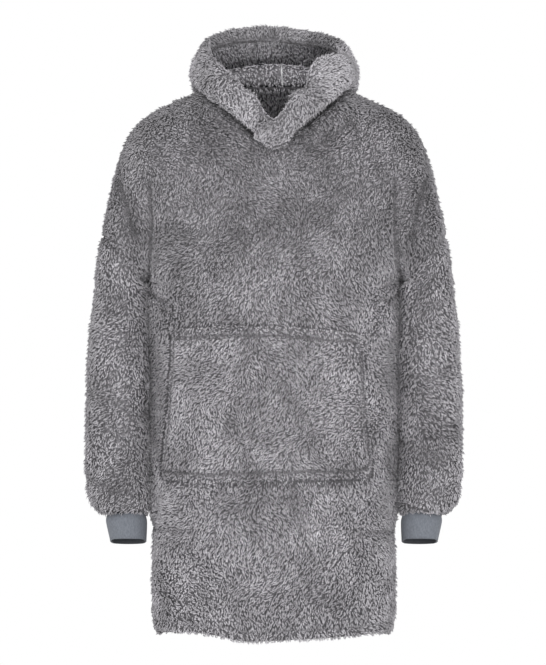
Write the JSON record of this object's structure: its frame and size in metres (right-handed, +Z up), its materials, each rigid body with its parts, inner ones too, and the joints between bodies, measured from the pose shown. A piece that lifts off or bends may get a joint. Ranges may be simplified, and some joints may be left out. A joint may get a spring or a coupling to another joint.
{
  "type": "hooded fleece pullover",
  "caption": "Long hooded pullover in deep-pile fleece, filled out and hollow, with dropped shoulders, a crossover hood, knitted cuffs and one wide front pocket.",
  "frame": {"origin": "between the shoulders, at the height where the hood meets the shoulder line", "axes": "+Z up, the front faces -Y, +X towards the wearer's left"},
  "size_m": [0.662, 0.3579, 1.0787],
  "materials": {
    "fleece": "mid grey deep-pile fleece, mottled where the nap lies different ways",
    "knit": "blue-grey heather knit, smooth and matt"
  },
  "bodies": {
    "root": {"front": "fleece", "back": "fleece", "sleeve_left": "fleece", "sleeve_right": "fleece", "hood_left": "fleece", "hood_right": "fleece", "pocket": "fleece", "cuff_left": "knit", "cuff_right": "knit"}
  },
  "joints": []
}
